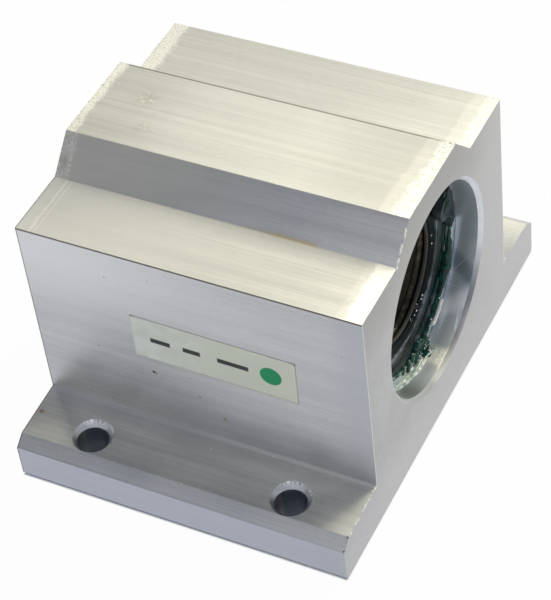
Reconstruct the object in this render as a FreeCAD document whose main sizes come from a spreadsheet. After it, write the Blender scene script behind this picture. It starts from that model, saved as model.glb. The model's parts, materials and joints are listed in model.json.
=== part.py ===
"""Linear bearing block for a 3/4 inch shaft: an extruded housing holding a ball bushing.

The block lies along X, the bore's axis, with its mounting face down on Z = 0 and the
origin at the middle of that face. Every size below is in millimetres or degrees.
"""

import FreeCAD, Part
import math
import os
from enum import IntEnum

import Sketcher
from FreeCAD import Placement, Rotation, Vector


class Point(IntEnum):
    """Which point of a line, arc or circle a constraint takes."""

    START = 1
    END = 2
    CENTRE = 3


class Axis(IntEnum):
    """A sketch's own two axes."""

    ACROSS = -1
    UP = -2


X_AXIS = Vector(1, 0, 0)
ORIGIN = (Axis.ACROSS, Point.START)

SIZES = {
    # housing extrusion, seen along the bore
    "housing_length": 52.3,
    "base_width": 69.85,
    "side_height": 5.9,
    "side_bevel": 1.9,
    "flange_edge_height": 7.3,
    "flange_root_height": 7.95,
    "body_width": 47.5,
    "shoulder_height": 39.95,
    "crown_foot_width": 25.3,
    "crown_width": 15.8,
    "housing_height": 44.7,
    "foot_bevel": 0.5,
    "relief_width": 26.0,
    "relief_depth": 0.3,
    # bored seat for the bushing
    "shaft_height": 23.8,
    "seat_diameter": 31.75,
    "mouth_chamfer": 0.62,
    "circlip_groove_depth": 1.0,
    # mounting holes in the flanges, set a little outside the middle of each flange
    "bolt_spacing_along": 31.75,
    "bolt_line_outset": 0.8275,
    "bolt_hole_diameter": 4.76,
    "bolt_hole_chamfer": 0.65,
    # sticker on the front wall
    "label_length": 25.4,
    "label_height": 8.0,
    "label_thickness": 0.1,
    "label_centre_along": 2.7,
    "label_centre_up": 24.6,
    "label_tilt": 0.7,
    # circlips
    "circlip_thickness": 1.27,
    "circlip_groove_play": 0.1,
    "circlip_section": 2.85,
    "circlip_offset": 0.35,
    "circlip_ear_radius": 2.15,
    "circlip_ear_reach": 2.45,
    "circlip_ear_angle": 18.0,
    "circlip_hole_diameter": 2.0,
    "front_circlip_turn": -58.0,
    "rear_circlip_turn": 58.0,
    # ball bushing
    "shaft_diameter": 19.05,
    "shaft_play": 0.01,
    "bushing_length": 41.27,
    "bushing_play": 0.015,
    "bushing_end_play": 0.06,
    "sleeve_wall": 1.66,
    "sleeve_chamfer": 0.4,
    "fit_gap": 0.03,
    "ball_diameter": 3.175,
    "ball_play": 0.0625,
    "ball_gap": 0.02,
    "ball_row_spacing": 5.52,
    "ball_row_length": 25.6,
    "cage_inner_play": 0.375,
    "cage_end_wall": 1.05,
    "plate_length": 26.8,
    "plate_span": 31.4,
    "plate_gap": 0.25,
    # bushing ends
    "end_ring_bore": 24.2,
    "end_ring_lip": 1.0,
    "seal_flange_width": 1.0,
    "seal_recess": 0.3,
    "seal_lip_width": 0.5,
    "seal_lip_reach": 1.2,
    "seal_lip_slope": 0.7,
}

CIRCUIT_COUNT = 5


class Size:
    """A length or angle that carries its value and the expression that gives it."""

    def __init__(self, value, text):
        self.value = value
        self.text = text

    @staticmethod
    def wrap(other):
        return other if isinstance(other, Size) else Size(float(other), repr(float(other)))

    def _join(self, other, sign, value):
        return Size(value, f"({self.text} {sign} {Size.wrap(other).text})")

    def __add__(self, other):
        return self._join(other, "+", self.value + Size.wrap(other).value)

    def __sub__(self, other):
        return self._join(other, "-", self.value - Size.wrap(other).value)

    def __mul__(self, other):
        return self._join(other, "*", self.value * Size.wrap(other).value)

    def __truediv__(self, other):
        return self._join(other, "/", self.value / Size.wrap(other).value)

    def __neg__(self):
        return Size(-self.value, f"(0 - {self.text})")

    def squared(self):
        return self * self

    def root(self):
        return Size(math.sqrt(self.value), f"sqrt({self.text})")

    def sine(self):
        return Size(math.sin(math.radians(self.value)), f"sin({self.text} * 1 deg)")

    def cosine(self):
        return Size(math.cos(math.radians(self.value)), f"cos({self.text} * 1 deg)")


class Dimensions:
    """The driving sheet: each alias reads as an attribute that gives its Size."""

    def __init__(self, document, sizes):
        self.sheet = document.addObject("Spreadsheet::Sheet", "dims")
        for row, (alias, value) in enumerate(sizes.items(), start=1):
            self.sheet.set(f"A{row}", alias)
            self.sheet.set(f"B{row}", str(value))
            self.sheet.setAlias(f"B{row}", alias)
        document.recompute()

    def __getattr__(self, alias):
        return Size(float(self.sheet.get(alias)), f"dims.{alias}")


doc = FreeCAD.newDocument("LinearBearingBlock")
dims = Dimensions(doc, SIZES)

# ---------------------------------------------------------------------------
# Sizes that follow from the driving ones
# ---------------------------------------------------------------------------
half_length = dims.housing_length / 2
seat_radius = dims.seat_diameter / 2
bushing_half = dims.bushing_length / 2
circlip_inner_x = bushing_half + dims.bushing_end_play
circlip_outer_x = circlip_inner_x + dims.circlip_thickness
groove_radius = seat_radius + dims.circlip_groove_depth
bolt_line = (dims.base_width + dims.body_width) / 4 + dims.bolt_line_outset

sleeve_radius = seat_radius - dims.bushing_play
sleeve_bore = sleeve_radius - dims.sleeve_wall
contact_radius = dims.shaft_diameter / 2 + dims.shaft_play
ball_radius = dims.ball_diameter / 2
channel_radius = ball_radius + dims.ball_play
load_row_radius = contact_radius + ball_radius
return_row_radius = sleeve_bore - dims.fit_gap - ball_radius
plate_inner = load_row_radius + ball_radius + dims.fit_gap / 2
plate_outer = sleeve_bore - dims.fit_gap
cage_inner = contact_radius + dims.cage_inner_play
cage_outer = sleeve_bore - dims.fit_gap * 2

# The two rows of a circuit lie in one level plane above the bushing's axis.
row_balance = (return_row_radius.squared() - load_row_radius.squared()) / dims.ball_row_spacing
load_row_y = (row_balance - dims.ball_row_spacing) / 2
return_row_y = (row_balance + dims.ball_row_spacing) / 2
row_height = (load_row_radius.squared() - load_row_y.squared()).root()
turn_radius = dims.ball_row_spacing / 2
row_half = dims.ball_row_length / 2

cage_half = row_half + turn_radius + channel_radius + dims.cage_end_wall
end_ring_inner_x = cage_half + dims.fit_gap
end_ring_radius = sleeve_bore - dims.fit_gap
end_ring_bore_radius = dims.end_ring_bore / 2
end_ring_step_x = bushing_half - dims.end_ring_lip
seal_flange_radius = end_ring_bore_radius + dims.seal_flange_width
seal_face_x = bushing_half - dims.seal_recess


# ---------------------------------------------------------------------------
# Helpers
# ---------------------------------------------------------------------------
def bind(owner, path, size):
    owner.setExpression(path, size.text)


def new_body(label):
    body = doc.addObject("PartDesign::Body", label)
    body.Label = label
    return body


def new_sketch(body, name, plane, offset=None):
    """A sketch on one of the body's origin planes, raised by offset along its normal."""
    sketch = body.newObject("Sketcher::SketchObject", name)
    support = next(item for item in body.Origin.OriginFeatures if item.Role == plane)
    sketch.AttachmentSupport = [(support, "")]
    sketch.MapMode = "FlatFace"
    if offset is not None:
        bind(sketch, ".AttachmentOffset.Base.z", offset)
    return sketch


def drive(sketch, kind, geometry, size):
    """Add one dimension to the sketch and bind it to its size."""
    index = sketch.addConstraint(Sketcher.Constraint(kind, *geometry, size.value))
    bind(sketch, f"Constraints[{index}]", size)


def place_point(sketch, geometry, point, across, up):
    """Fix a point of the sketch by its distances from the sketch's origin."""
    for kind, axis, size in (("DistanceX", Axis.UP, across), ("DistanceY", Axis.ACROSS, up)):
        if isinstance(size, Size):
            drive(sketch, kind, (*ORIGIN, geometry, point), size)
        else:
            sketch.addConstraint(Sketcher.Constraint("PointOnObject", geometry, point, axis))


def outline(sketch, corners):
    """Draw a closed polygon whose corners are pairs of sizes; a corner's 0 lies on an axis."""
    points = [Vector(*(Size.wrap(place).value for place in corner), 0) for corner in corners]
    first = sketch.GeometryCount
    count = len(points)
    for index, point in enumerate(points):
        sketch.addGeometry(Part.LineSegment(point, points[(index + 1) % count]), False)
    for index, (across, up) in enumerate(corners):
        following = first + (index + 1) % count
        sketch.addConstraint(Sketcher.Constraint("Coincident", first + index, Point.END, following, Point.START))
        place_point(sketch, first + index, Point.START, across, up)


def circle(sketch, across, up, radius):
    centre = Vector(Size.wrap(across).value, Size.wrap(up).value, 0)
    index = sketch.addGeometry(Part.Circle(centre, Vector(0, 0, 1), radius.value), False)
    drive(sketch, "Radius", (index,), radius)
    place_point(sketch, index, Point.CENTRE, across, up)


def extrude(body, name, sketch, length, kind="PartDesign::Pad"):
    """Pad, or pocket, the sketch by the same amount to both sides of its plane."""
    feature = body.newObject(kind, name)
    feature.Profile = sketch
    feature.Midplane = True
    bind(feature, "Length", length)
    return feature


def revolve(body, name, sketch, kind="PartDesign::Revolution", span=None):
    """Turn the sketch about the body's own X axis: all round, or through the span."""
    axis = next(item for item in body.Origin.OriginFeatures if item.Role == "X_Axis")
    feature = body.newObject(kind, name)
    feature.Profile = sketch
    feature.ReferenceAxis = (axis, [""])
    if span is None:
        feature.Angle = 360.0
    else:
        bind(feature, "Angle", span)
    return feature


def mirror_ends(body, name, features):
    """Repeat features at the far end, through the body's own YZ plane."""
    plane = next(item for item in body.Origin.OriginFeatures if item.Role == "YZ_Plane")
    mirrored = body.newObject("PartDesign::Mirrored", name)
    mirrored.Originals = features
    mirrored.MirrorPlane = (plane, [""])
    body.Tip = mirrored
    return mirrored


def seat_on_shaft_line(body, turn=0.0):
    """Carry a piece that is drawn about its own X axis up to the line of the shaft."""
    body.Placement = Placement(Vector(), Rotation(X_AXIS, turn))
    bind(body, ".Placement.Base.z", dims.shaft_height)


# ---------------------------------------------------------------------------
# Housing
# ---------------------------------------------------------------------------
def housing_profile():
    """Half of the extrusion's section, from the middle of the base up to the crown."""
    half_base = dims.base_width / 2
    return [
        (dims.relief_width / 2, dims.relief_depth),
        (dims.relief_width / 2 + dims.relief_depth, 0),
        (half_base - dims.foot_bevel, 0),
        (half_base, dims.foot_bevel),
        (half_base, dims.side_height),
        (half_base - dims.side_bevel, dims.flange_edge_height),
        (dims.body_width / 2, dims.flange_root_height),
        (dims.body_width / 2, dims.shoulder_height),
        (dims.crown_foot_width / 2, dims.shoulder_height),
        (dims.crown_width / 2, dims.housing_height),
    ]


def make_housing():
    body = new_body("housing")
    section = new_sketch(body, "housing_section", "YZ_Plane")
    right = housing_profile()
    left = [(-across, up) for across, up in reversed(right)]
    outline(section, right + left)
    extrude(body, "housing_extrusion", section, dims.housing_length)

    seat = new_sketch(body, "seat_section", "YZ_Plane")
    circle(seat, 0, dims.shaft_height, seat_radius)
    extrude(body, "seat_bore", seat, dims.housing_length * 2, "PartDesign::Pocket")
    for name, section in (("mouth", mouth_section), ("circlip_groove", groove_section)):
        cut_round_shaft_line(body, name, section)
    drill_mounting_holes(body)
    return body


def mouth_section(sketch):
    reach = dims.mouth_chamfer
    outline(sketch, [
        (half_length - reach, dims.shaft_height + seat_radius - reach),
        (half_length + reach, dims.shaft_height + seat_radius - reach),
        (half_length + reach, dims.shaft_height + seat_radius + reach * 2),
        (half_length - reach, dims.shaft_height + seat_radius),
    ])


def groove_section(sketch):
    inner = circlip_inner_x - dims.circlip_groove_play / 2
    outer = circlip_outer_x + dims.circlip_groove_play / 2
    floor = dims.shaft_height + groove_radius
    start = dims.shaft_height + seat_radius - dims.circlip_groove_depth
    outline(sketch, [(inner, start), (outer, start), (outer, floor), (inner, floor)])


def cut_round_shaft_line(body, name, draw_section):
    """Turn a groove about the shaft line at one end of the seat, and repeat it at the other."""
    sketch = new_sketch(body, f"{name}_section", "XZ_Plane")
    draw_section(sketch)
    line = sketch.addGeometry(Part.LineSegment(Vector(-1, 1, 0), Vector(1, 1, 0)), True)
    sketch.addConstraint(Sketcher.Constraint("Horizontal", line))
    sketch.addConstraint(Sketcher.Constraint("PointOnObject", line, Point.START, Axis.UP))
    drive(sketch, "DistanceX", (line, Point.START, line, Point.END), dims.mouth_chamfer)
    drive(sketch, "DistanceY", (*ORIGIN, line, Point.START), dims.shaft_height)
    groove = body.newObject("PartDesign::Groove", name)
    groove.Profile = sketch
    groove.ReferenceAxis = (sketch, ["Axis0"])
    groove.Angle = 360.0
    mirror_ends(body, f"{name}_pair", [groove])


def drill_mounting_holes(body):
    """Four countersunk through holes, drilled down from the root of the flanges."""
    sketch = new_sketch(body, "hole_centres", "XY_Plane", dims.flange_root_height)
    for along in (dims.bolt_spacing_along / 2, -dims.bolt_spacing_along / 2):
        for across in (bolt_line, -bolt_line):
            circle(sketch, along, across, dims.bolt_hole_diameter / 2)
    doc.recompute()
    # The flange falls away outwards, so the countersink starts above it at each hole.
    fall = dims.flange_root_height - dims.flange_edge_height
    run = dims.base_width / 2 - dims.side_bevel - dims.body_width / 2
    drop = fall / run * (bolt_line - dims.body_width / 2)
    holes = body.newObject("PartDesign::Hole", "mounting_holes")
    holes.Profile = sketch
    holes.DepthType = "ThroughAll"
    holes.HoleCutType = "Countersink"
    holes.HoleCutCountersinkAngle = 90.0
    bind(holes, "Diameter", dims.bolt_hole_diameter)
    bind(holes, "HoleCutDiameter", dims.bolt_hole_diameter + (dims.bolt_hole_chamfer + drop) * 2)


def make_label():
    """The sticker, laid on the front wall and turned a little, as it was put on by hand."""
    body = new_body("label")
    sheet = new_sketch(body, "label_outline", "XZ_Plane")
    along = dims.label_length / 2
    up = dims.label_height / 2
    outline(sheet, [(-along, -up), (along, -up), (along, up), (-along, up)])
    extrude(body, "label_sheet", sheet, dims.label_thickness)
    body.Placement = Placement(Vector(), Rotation(Vector(0, -1, 0), dims.label_tilt.value))
    bind(body, ".Placement.Base.x", dims.label_centre_along)
    bind(body, ".Placement.Base.y", -(dims.body_width + dims.label_thickness) / 2)
    bind(body, ".Placement.Base.z", dims.label_centre_up)
    return body


# ---------------------------------------------------------------------------
# Circlips
# ---------------------------------------------------------------------------
def make_circlip(label, end, turn):
    """An internal circlip: its section tapers from the far side up to two eyed ears."""
    body = new_body(label)
    outer = groove_radius - dims.circlip_groove_play
    ear_distance = seat_radius - dims.circlip_ear_reach
    ear_across = ear_distance * dims.circlip_ear_angle.sine()
    ear_up = ear_distance * dims.circlip_ear_angle.cosine()
    middle_x = (circlip_inner_x + circlip_outer_x) / 2

    ring = new_sketch(body, "ring_outline", "YZ_Plane")
    circle(ring, 0, 0, outer)
    circle(ring, 0, dims.circlip_offset, outer - dims.circlip_section + dims.circlip_offset)
    extrude(body, "ring", ring, dims.circlip_thickness)

    ears = new_sketch(body, "ear_outline", "YZ_Plane")
    for across in (ear_across, -ear_across):
        circle(ears, across, ear_up, dims.circlip_ear_radius)
    extrude(body, "ears", ears, dims.circlip_thickness)

    gap = new_sketch(body, "gap_outline", "YZ_Plane")
    half_gap = ear_across - dims.circlip_ear_radius * 0.8
    top = outer * 1.2
    bottom = ear_up - dims.circlip_ear_radius * 1.5
    outline(gap, [(-half_gap, bottom), (half_gap, bottom), (half_gap, top), (-half_gap, top)])
    extrude(body, "gap", gap, dims.circlip_thickness * 2, "PartDesign::Pocket")

    eyes = new_sketch(body, "eye_outline", "YZ_Plane")
    for across in (ear_across, -ear_across):
        circle(eyes, across, ear_up, dims.circlip_hole_diameter / 2)
    extrude(body, "eyes", eyes, dims.circlip_thickness * 2, "PartDesign::Pocket")

    seat_on_shaft_line(body, turn.value)
    bind(body, ".Placement.Base.x", middle_x * end)
    return body


# ---------------------------------------------------------------------------
# Ball bushing
# ---------------------------------------------------------------------------
def make_sleeve():
    body = new_body("bearing_sleeve")
    section = new_sketch(body, "sleeve_section", "XZ_Plane")
    chamfer = dims.sleeve_chamfer
    right = [
        (bushing_half, sleeve_bore),
        (bushing_half, sleeve_radius - chamfer),
        (bushing_half - chamfer, sleeve_radius),
    ]
    outline(section, right + [(-along, up) for along, up in reversed(right)])
    revolve(body, "sleeve", section)
    seat_on_shaft_line(body)
    return body


def make_cage():
    """The retainer: a thick tube with a closed channel and a plate window per circuit."""
    body = new_body("ball_cage")
    section = new_sketch(body, "cage_section", "XZ_Plane")
    right = [(cage_half, cage_inner), (cage_half, cage_outer)]
    outline(section, right + [(-along, up) for along, up in reversed(right)])
    revolve(body, "cage_tube", section)

    window = new_sketch(body, "window_section", "XZ_Plane")
    window_half = dims.plate_length / 2 + dims.plate_gap
    window_floor = plate_inner - dims.ball_play
    window_top = cage_outer + dims.plate_gap
    outline(window, [(window_half, window_floor), (window_half, window_top),
                     (-window_half, window_top), (-window_half, window_floor)])
    windows = revolve(body, "plate_window", window, "PartDesign::Groove", dims.plate_span + 1)
    windows.Midplane = True

    route = new_sketch(body, "channel_route", "XY_Plane", row_height)
    draw_racetrack(route)
    hoop = new_sketch(body, "channel_section", "YZ_Plane")
    circle(hoop, load_row_y, row_height, channel_radius)
    channel = body.newObject("PartDesign::SubtractivePipe", "ball_channel")
    channel.Profile = hoop
    channel.Spine = (route, [f"Edge{number}" for number in range(1, 6)])
    axis = next(item for item in body.Origin.OriginFeatures if item.Role == "X_Axis")
    pattern = body.newObject("PartDesign::PolarPattern", "circuits")
    pattern.Originals = [windows, channel]
    pattern.Axis = (axis, [""])
    pattern.Angle = 360.0
    pattern.Occurrences = CIRCUIT_COUNT
    body.Tip = pattern
    seat_on_shaft_line(body)
    return body


def draw_racetrack(sketch):
    """The loop of one circuit: the load row in two halves, two half turns, the return row."""
    middle_y = (load_row_y.value + return_row_y.value) / 2
    end_x = row_half.value
    near, far = load_row_y.value, return_row_y.value
    lines = [(Vector(0, near, 0), Vector(end_x, near, 0)),
             (Vector(end_x, far, 0), Vector(-end_x, far, 0)),
             (Vector(-end_x, near, 0), Vector(0, near, 0))]
    first, across, last = (sketch.addGeometry(Part.LineSegment(*ends), False) for ends in lines)
    radius = turn_radius.value
    turns = []
    for x, lead in ((end_x, -90), (-end_x, 90)):
        ring = Part.Circle(Vector(x, middle_y, 0), Vector(0, 0, 1), radius)
        turns.append(sketch.addGeometry(
            Part.ArcOfCircle(ring, math.radians(lead), math.radians(lead + 180)), False))
    start, end = Point.START, Point.END
    for line, line_end, turn, turn_end in ((first, end, turns[0], start), (across, start, turns[0], end),
                                           (across, end, turns[1], start), (last, start, turns[1], end)):
        sketch.addConstraint(Sketcher.Constraint("Tangent", line, line_end, turn, turn_end))
    sketch.addConstraint(Sketcher.Constraint("Coincident", last, end, first, start))
    place_point(sketch, first, start, 0, load_row_y)
    sketch.addConstraint(Sketcher.Constraint("Horizontal", first))
    sketch.addConstraint(Sketcher.Constraint("Horizontal", last))
    drive(sketch, "DistanceX", (*ORIGIN, first, end), row_half)
    drive(sketch, "DistanceX", (last, start, *ORIGIN), row_half)
    drive(sketch, "Radius", (turns[0],), turn_radius)


def make_load_plate(number, turn):
    """A hardened plate over one load row: part of a tube, centred over that row's lead."""
    body = new_body(f"load_plate_{number}")
    section = new_sketch(body, "plate_section", "XZ_Plane")
    half = dims.plate_length / 2
    outline(section, [(half, plate_inner), (half, plate_outer), (-half, plate_outer), (-half, plate_inner)])
    plate = revolve(body, "plate", section, span=dims.plate_span)
    plate.Midplane = True
    seat_on_shaft_line(body, turn)
    return body


def ball_positions():
    """Centres of the balls, evenly spaced round the loop of one circuit."""
    row = dims.ball_row_length.value
    half_row = row_half.value
    radius = turn_radius.value
    bend = math.pi * radius
    loop = 2 * (row + bend)
    # Balls stand closest across a turn, so the chord there sets how many the loop takes.
    pitch = 2 * radius * math.asin((dims.ball_diameter.value + dims.ball_gap.value) / (2 * radius))
    count = int(loop / pitch)
    near, height = load_row_y.value, row_height.value
    middle = near + radius
    for index in range(count):
        travel = loop * index / count
        if travel < row:
            yield Vector(travel - half_row, near, height)
        elif travel < row + bend:
            angle = (travel - row) / radius
            yield Vector(half_row + radius * math.sin(angle), middle - radius * math.cos(angle), height)
        elif travel < 2 * row + bend:
            yield Vector(half_row - (travel - row - bend), near + 2 * radius, height)
        else:
            angle = (travel - 2 * row - bend) / radius
            yield Vector(-half_row - radius * math.sin(angle), middle + radius * math.cos(angle), height)


def make_ball_circuit(number, turn):
    """The loose balls of one circuit, a group of separate solids."""
    balls = [Part.makeSphere(ball_radius.value, centre) for centre in ball_positions()]
    feature = doc.addObject("Part::Feature", f"ball_circuit_{number}")
    feature.Label = f"ball_circuit_{number}"
    feature.Shape = Part.makeCompound(balls)
    feature.Placement = Placement(Vector(0, 0, dims.shaft_height.value), Rotation(X_AXIS, turn))
    return feature


def make_end_ring(label, turn):
    """The ring that closes the bushing and traps the wiper seal, drawn for the +X end."""
    body = new_body(label)
    section = new_sketch(body, "end_ring_section", "XZ_Plane")
    outline(section, [
        (end_ring_inner_x, seal_flange_radius + dims.fit_gap),
        (end_ring_inner_x, end_ring_radius),
        (bushing_half, end_ring_radius),
        (bushing_half, end_ring_bore_radius),
        (end_ring_step_x, end_ring_bore_radius),
        (end_ring_step_x, seal_flange_radius + dims.fit_gap),
    ])
    revolve(body, "end_ring", section)
    face_end(body, turn)
    return body


def make_seal(label, turn):
    """A rubber wiper: a flange behind the end ring, a hub in its bore, a lip on the shaft."""
    body = new_body(label)
    section = new_sketch(body, "seal_section", "XZ_Plane")
    hub = end_ring_bore_radius - dims.fit_gap
    lip_back = seal_face_x - dims.seal_lip_width
    lip_root = contact_radius + dims.seal_lip_reach
    outline(section, [
        (end_ring_inner_x, lip_root),
        (end_ring_inner_x, seal_flange_radius),
        (end_ring_step_x - dims.fit_gap, seal_flange_radius),
        (end_ring_step_x - dims.fit_gap, hub),
        (seal_face_x, hub),
        (seal_face_x, contact_radius),
        (lip_back, contact_radius),
        (lip_back - dims.seal_lip_slope, lip_root),
    ])
    revolve(body, "seal", section)
    face_end(body, turn)
    return body


def face_end(body, turn):
    """Leave a piece drawn for the +X end there, or turn it about Z to the -X end."""
    body.Placement = Placement(Vector(), Rotation(Vector(0, 0, 1), turn))
    bind(body, ".Placement.Base.z", dims.shaft_height)


# ---------------------------------------------------------------------------
# Build, check, write
# ---------------------------------------------------------------------------
def build_pieces():
    pieces = [make_housing(), make_label()]
    pieces.append(make_circlip("circlip_front", 1, dims.front_circlip_turn))
    pieces.append(make_circlip("circlip_rear", -1, dims.rear_circlip_turn))
    pieces += [make_sleeve(), make_cage()]
    for number in range(1, CIRCUIT_COUNT + 1):
        turn = 360.0 / CIRCUIT_COUNT * (number - 1)
        pieces.append(make_load_plate(number, turn))
        pieces.append(make_ball_circuit(number, turn))
    for label, turn in (("front", 0.0), ("rear", 180.0)):
        pieces.append(make_end_ring(f"end_ring_{label}", turn))
        pieces.append(make_seal(f"seal_{label}", turn))
    return pieces


def check_and_write(pieces):
    doc.recompute()
    for item in doc.Objects:
        if "Invalid" in item.State or "Error" in item.State:
            raise RuntimeError(f"{item.Label} failed: {item.State}")
    for piece in pieces:
        if piece.Shape.isNull() or not piece.Shape.isValid():
            raise RuntimeError(f"{piece.Label} has no valid shape")
    os.makedirs("parts", exist_ok=True)
    for piece in pieces:
        piece.Shape.exportStep(f"parts/{piece.Label}.step")
        print(f"{piece.Label}: {len(piece.Shape.Solids)} solids, {piece.Shape.Volume:.1f} mm3")


check_and_write(build_pieces())
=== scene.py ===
"""Looks for the linear bearing block: finishes, worn edges, sticker and grease.

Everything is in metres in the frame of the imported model: X runs along the bore, the
mounting face lies on Z = 0, and the sticker is on the -Y side.
"""

import json
import math
import random
from functools import reduce

import bmesh
import bpy
from mathutils import Matrix, Vector, noise


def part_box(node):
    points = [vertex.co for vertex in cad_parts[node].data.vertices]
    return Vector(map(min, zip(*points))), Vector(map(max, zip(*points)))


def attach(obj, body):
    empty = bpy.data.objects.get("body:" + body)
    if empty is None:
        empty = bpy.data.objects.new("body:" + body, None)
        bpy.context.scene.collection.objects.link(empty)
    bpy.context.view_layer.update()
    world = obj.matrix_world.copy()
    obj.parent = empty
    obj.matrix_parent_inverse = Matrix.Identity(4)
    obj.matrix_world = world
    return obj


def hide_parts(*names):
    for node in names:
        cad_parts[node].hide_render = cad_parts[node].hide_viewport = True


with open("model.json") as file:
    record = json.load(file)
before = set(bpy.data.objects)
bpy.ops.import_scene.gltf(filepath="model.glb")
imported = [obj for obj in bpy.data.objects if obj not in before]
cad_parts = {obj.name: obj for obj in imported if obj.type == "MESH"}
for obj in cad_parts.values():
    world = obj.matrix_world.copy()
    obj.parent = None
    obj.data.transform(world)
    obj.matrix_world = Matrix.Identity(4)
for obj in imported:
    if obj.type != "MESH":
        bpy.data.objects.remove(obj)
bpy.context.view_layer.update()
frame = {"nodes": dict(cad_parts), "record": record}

MM = 0.001
ROOT = "root"


# ---------------------------------------------------------------------------
# Places and sizes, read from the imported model
# ---------------------------------------------------------------------------
def mount(name):
    """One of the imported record's mounts."""
    return next(m for m in frame["record"]["mounts"] if m["name"] == name)


_, HOUSING_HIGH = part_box("housing")
LABEL_LOW, LABEL_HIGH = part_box("label")
BOLTS = mount("mounting_holes")["dims"]
SHAFT_HEIGHT = mount("shaft_bore")["pos_m"][2]
HALF_LENGTH = HOUSING_HIGH.x
SEAT_RADIUS = 15.875 * MM
WALL_MM = 23.75
WALL_Y = WALL_MM * MM
CIRCUITS = 5


# ---------------------------------------------------------------------------
# Finishes
# ---------------------------------------------------------------------------
class Value:
    """A shader number that takes part in arithmetic; each sum adds a Math node."""

    def __init__(self, finish, socket):
        self.finish = finish
        self.socket = socket

    def _math(self, operation, *terms):
        inputs = dict(enumerate(terms))
        return self.finish.node("Math", inputs, operation=operation)

    def __add__(self, other):
        return self._math("ADD", self, other)

    def __sub__(self, other):
        return self._math("SUBTRACT", self, other)

    def __mul__(self, other):
        return self._math("MULTIPLY", self, other)

    def __pow__(self, other):
        return self._math("POWER", self, other)

    def __rsub__(self, other):
        return self._math("SUBTRACT", other, self)

    def __neg__(self):
        return self._math("MULTIPLY", self, -1.0)

    __radd__ = __add__
    __rmul__ = __mul__

    def size(self):
        """The value without its sign."""
        return self._math("ABSOLUTE", self)

    def root(self):
        return self._math("SQRT", self)

    def largest(self, other):
        return self._math("MAXIMUM", self, other)

    def smallest(self, other):
        return self._math("MINIMUM", self, other)

    def angle(self, other):
        """The angle whose rise is this value and whose run is the other, in radians."""
        return self._math("ARCTAN2", self, other)

    def rise(self, low, high):
        """0 below low, 1 above high, and a smooth step between; high may be the lower."""
        span = {0: self, 1: low, 2: high}
        return self.finish.node("MapRange", span, interpolation_type="SMOOTHSTEP")


class Finish:
    """The nodes of a material or world in the making, with one method that adds any node."""

    def __init__(self, name, kind="materials"):
        self.made = getattr(bpy.data, kind).new(name)
        self.made.use_nodes = True
        self.tree = self.made.node_tree
        self.tree.nodes.clear()

    def node(self, kind, inputs=None, output=0, **settings):
        """Add a node: first its settings, then its sockets' values or links."""
        made = self.tree.nodes.new("ShaderNode" + kind)
        for name, setting in settings.items():
            setattr(made, name, setting)
        for name, term in (inputs or {}).items():
            if isinstance(term, Value):
                self.tree.links.new(term.socket, made.inputs[name])
            else:
                made.inputs[name].default_value = term
        return Value(self, made.outputs[output]) if made.outputs else None

    def axes(self):
        """The place on the object as three numbers, in millimetres."""
        place = self.node("TexCoord", output="Object")
        return self.split(self.node("VectorMath", {0: place, "Scale": 1 / MM}, operation="SCALE"))

    def split(self, vector):
        return [self.node("SeparateXYZ", {0: vector}, output=axis) for axis in "XYZ"]

    def point(self, x, y, z):
        return self.node("CombineXYZ", {0: x, 1: y, 2: z})

    def noise(self, place, scale=1.0, detail=2.0, roughness=0.5, **inputs):
        """Soft noise from 0 to 1 at a place; scale is in marks to the millimetre."""
        named = {"Vector": place, "Scale": scale, "Detail": detail, "Roughness": roughness}
        return self.node("TexNoise", {**named, **inputs})

    def mix(self, under, over, share):
        """One colour over another by a share from 0 to 1."""
        colours = {0: share, 6: opaque(under), 7: opaque(over)}
        return self.node("Mix", colours, output=2, data_type="RGBA")

    def bump(self, height, depth, distance):
        return self.node("Bump", {"Strength": depth, "Distance": distance, "Height": height})

    def done(self, **inputs):
        """Close the material with a Principled shader; names use _ for a space."""
        named = {name.replace("_", " "): opaque(term) for name, term in inputs.items()}
        shader = self.node("BsdfPrincipled", named)
        self.node("OutputMaterial", {"Surface": shader})
        return self.made


def opaque(term):
    """A colour written as three numbers, with the full alpha that a socket needs."""
    return (*term, 1.0) if isinstance(term, tuple) and len(term) == 3 else term


ALUMINIUM = (0.685, 0.688, 0.672)
ALUMINIUM_BRIGHT = (0.90, 0.90, 0.87)
ALUMINIUM_DULL = (0.485, 0.492, 0.492)


def turn_about_shaft(y, z):
    """The angle about the shaft's line from +Y towards +Z, in radians."""
    return (z - SHAFT_HEIGHT / MM).angle(y)


def steepness(finish):
    """The upward part of the surface's true normal: 1 on level faces, 0 on upright ones."""
    return finish.split(finish.node("NewGeometry", output="True Normal"))[2]


def spot(across, up, centre, radius, soft=0.1):
    """1 inside a round mark on a face and 0 outside it."""
    off = ((across - centre[0]) ** 2.0 + (up - centre[1]) ** 2.0).root()
    return off.rise(radius + soft, max(0.0, radius - soft))


def spotted(finish, under, across, up, area, spots):
    """A colour with round marks on it, each given as centre, radius, colour and share."""
    for centre, radius, colour, share in spots:
        under = finish.mix(under, colour, spot(across, up, centre, radius) * area * share)
    return under


def stroke(across, up, start, end, width):
    """1 along a straight mark from start to end, 0 away from it."""
    run = (end[0] - start[0], end[1] - start[1])
    length = math.hypot(*run)
    way = (run[0] / length, run[1] / length)
    along = (across - start[0]) * way[0] + (up - start[1]) * way[1]
    off = ((up - start[1]) * way[0] - (across - start[0]) * way[1]).size()
    ends = along.rise(-width, width) * along.rise(length + width, length - width)
    return off.rise(width, width * 0.4) * ends


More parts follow.
